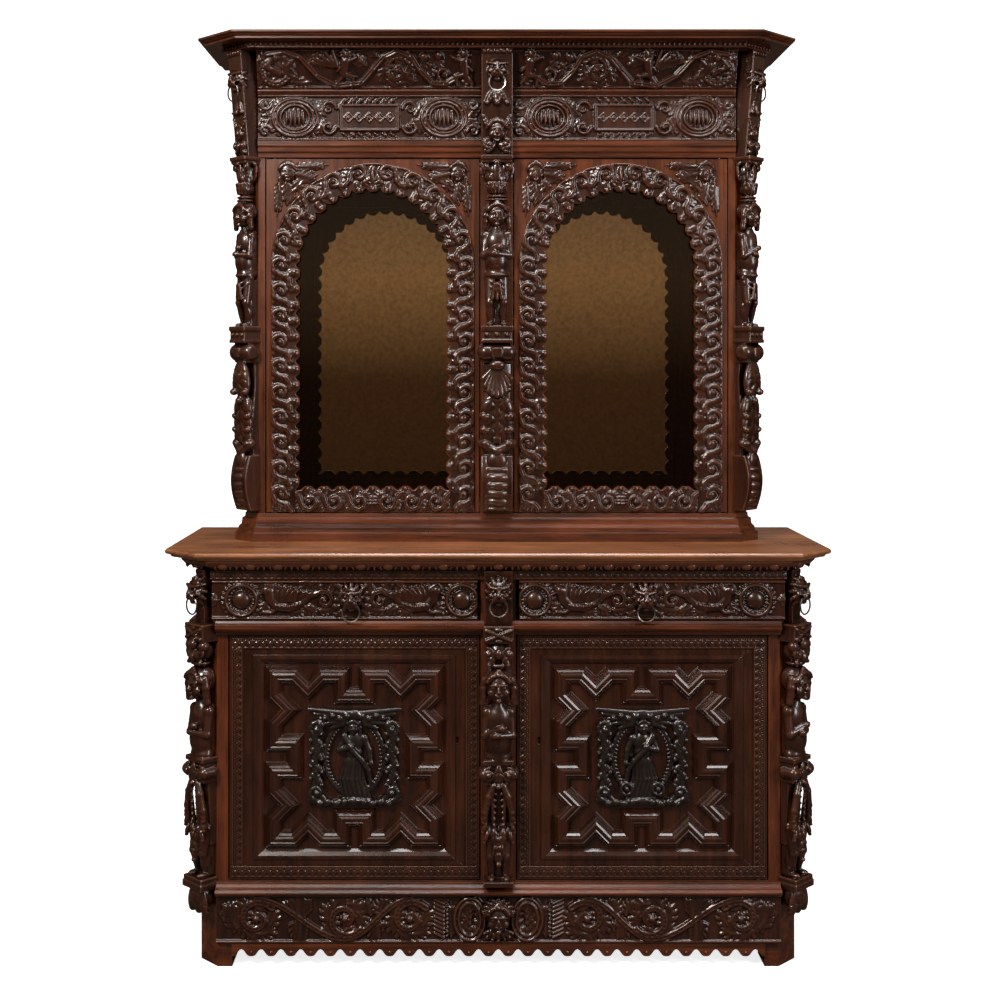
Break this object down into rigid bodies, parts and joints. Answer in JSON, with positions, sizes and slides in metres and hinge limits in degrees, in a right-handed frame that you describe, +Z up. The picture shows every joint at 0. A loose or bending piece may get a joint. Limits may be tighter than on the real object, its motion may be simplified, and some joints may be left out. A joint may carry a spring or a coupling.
{
  "type": "buffet",
  "caption": "Two-body carved cabinet: panelled cupboard with drawers below, arched glass doors above, cut corners with carved figures and a cornice.",
  "frame": {"origin": "middle of the footprint, on the floor", "axes": "+Z up, -Y towards the viewer of the doors, +X to the right"},
  "size_m": [1.6, 0.55, 2.25],
  "materials": {
    "carved_wood": "waxed, dark",
    "board_wood": "waxed, reddish",
    "top_wood": "worn wax",
    "inner_wood": "raw, aged",
    "mirror": "polished",
    "glass": "clear",
    "steel": "dull",
    "ring_steel": "polished"
  },
  "bodies": {
    "root": {"plinth_frame": "board_wood", "plinth_frieze": "carved_wood", "scalloped_apron": "carved_wood", "lower_case_mouldings": "board_wood", "lower_bottom_board": "inner_wood", "lower_side_panels": "board_wood", "lower_back_panel": "inner_wood", "lower_corner_posts": "board_wood", "lower_centre_post": "board_wood", "drawer_frame": "board_wood", "gadroon_moulding": "carved_wood", "countertop": "top_wood", "lower_left_caryatid": "carved_wood", "lower_centre_caryatid": "carved_wood", "lower_right_caryatid": "carved_wood", "lower_lion_blocks": "carved_wood", "upper_base_moulding": "board_wood", "upper_floor_and_ceiling": "inner_wood", "upper_side_panels": "board_wood", "upper_back_panel": "inner_wood", "back_mirrors": "mirror", "upper_corner_posts": "board_wood", "upper_centre_pilaster": "board_wood", "upper_left_caryatid": "carved_wood", "upper_centre_caryatid": "carved_wood", "upper_right_caryatid": "carved_wood", "lintel_moulding": "board_wood", "cartouche_frieze": "carved_wood", "scroll_frieze": "carved_wood", "entablature_blocks": "carved_wood", "cornice": "board_wood", "door_pivot_pins": "steel"},
    "lower_right_door": {"lower_right_door_frame": "board_wood", "lower_right_door_panel": "board_wood", "lower_right_star_moulding": "carved_wood", "lower_right_door_relief": "carved_wood", "lower_right_lock_case": "steel"},
    "lower_right_bolt": {"lower_right_lock_bolt": "steel"},
    "upper_right_door": {"upper_right_door_frame": "carved_wood", "upper_right_door_glass": "glass"},
    "right_drawer": {"right_drawer_front": "carved_wood", "right_drawer_box": "inner_wood"},
    "lower_left_door": {"lower_left_door_frame": "board_wood", "lower_left_door_panel": "board_wood", "lower_left_star_moulding": "carved_wood", "lower_left_door_relief": "carved_wood", "lower_left_lock_case": "steel"},
    "lower_left_bolt": {"lower_left_lock_bolt": "steel"},
    "upper_left_door": {"upper_left_door_frame": "carved_wood", "upper_left_door_glass": "glass"},
    "left_drawer": {"left_drawer_front": "carved_wood", "left_drawer_box": "inner_wood"},
    "lower_centre_ring": {"lower_centre_ring": "ring_steel"},
    "lower_right_corner_ring": {"lower_right_corner_ring": "ring_steel"},
    "lower_left_corner_ring": {"lower_left_corner_ring": "ring_steel"},
    "upper_centre_ring": {"upper_centre_ring": "ring_steel"},
    "upper_right_corner_ring": {"upper_right_corner_ring": "ring_steel"},
    "upper_left_corner_ring": {"upper_left_corner_ring": "ring_steel"},
    "right_drawer_ring": {"right_drawer_ring": "ring_steel"},
    "left_drawer_ring": {"left_drawer_ring": "ring_steel"}
  },
  "joints": [
    {"name": "lower_right_door_hinge", "type": "hinge", "parent": "root", "child": "lower_right_door", "pos_m": [0.62, -0.207, 0.5], "axis": [0, 0, 1], "range_deg": [0, 100]},
    {"name": "upper_right_door_hinge", "type": "hinge", "parent": "root", "child": "upper_right_door", "pos_m": [0.56, -0.012, 1.5], "axis": [0, 0, 1], "range_deg": [0, 100]},
    {"name": "right_drawer_slide", "type": "slide", "parent": "root", "child": "right_drawer", "axis": [0, -1, 0], "range_m": [0, 0.3]},
    {"name": "lower_right_bolt_slide", "type": "slide", "parent": "lower_right_door", "child": "lower_right_bolt", "axis": [-1, 0, 0], "range_m": [0, 0.009]},
    {"name": "lower_left_door_hinge", "type": "hinge", "parent": "root", "child": "lower_left_door", "pos_m": [-0.62, -0.207, 0.5], "axis": [0, 0, -1], "range_deg": [0, 100]},
    {"name": "upper_left_door_hinge", "type": "hinge", "parent": "root", "child": "upper_left_door", "pos_m": [-0.56, -0.012, 1.5], "axis": [0, 0, -1], "range_deg": [0, 100]},
    {"name": "left_drawer_slide", "type": "slide", "parent": "root", "child": "left_drawer", "axis": [0, -1, 0], "range_m": [0, 0.3]},
    {"name": "lower_left_bolt_slide", "type": "slide", "parent": "lower_left_door", "child": "lower_left_bolt", "axis": [1, 0, 0], "range_m": [0, 0.009]},
    {"name": "lower_centre_ring_swing", "type": "hinge", "parent": "root", "child": "lower_centre_ring", "pos_m": [0, -0.265, 0.881], "axis": [-1, 0, 0], "range_deg": [0, 85]},
    {"name": "lower_right_corner_ring_swing", "type": "hinge", "parent": "root", "child": "lower_right_corner_ring", "pos_m": [0.72786, -0.22786, 0.881], "axis": [-0.7071, -0.7071, 0], "range_deg": [0, 85]},
    {"name": "lower_left_corner_ring_swing", "type": "hinge", "parent": "root", "child": "lower_left_corner_ring", "pos_m": [-0.72786, -0.22786, 0.881], "axis": [-0.7071, 0.7071, 0], "range_deg": [0, 85]},
    {"name": "upper_centre_ring_swing", "type": "hinge", "parent": "root", "child": "upper_centre_ring", "pos_m": [0, -0.08, 2.152], "axis": [-1, 0, 0], "range_deg": [0, 85]},
    {"name": "upper_right_corner_ring_swing", "type": "hinge", "parent": "root", "child": "upper_right_corner_ring", "pos_m": [0.65993, -0.04493, 2.132], "axis": [-0.7071, -0.7071, 0], "range_deg": [0, 85]},
    {"name": "upper_left_corner_ring_swing", "type": "hinge", "parent": "root", "child": "upper_left_corner_ring", "pos_m": [-0.65993, -0.04493, 2.132], "axis": [-0.7071, 0.7071, 0], "range_deg": [0, 85]},
    {"name": "right_drawer_ring_swing", "type": "hinge", "parent": "right_drawer", "child": "right_drawer_ring", "pos_m": [0.348, -0.252, 0.867], "axis": [-1, 0, 0], "range_deg": [0, 85]},
    {"name": "left_drawer_ring_swing", "type": "hinge", "parent": "left_drawer", "child": "left_drawer_ring", "pos_m": [-0.348, -0.252, 0.867], "axis": [-1, 0, 0], "range_deg": [0, 85]}
  ]
}
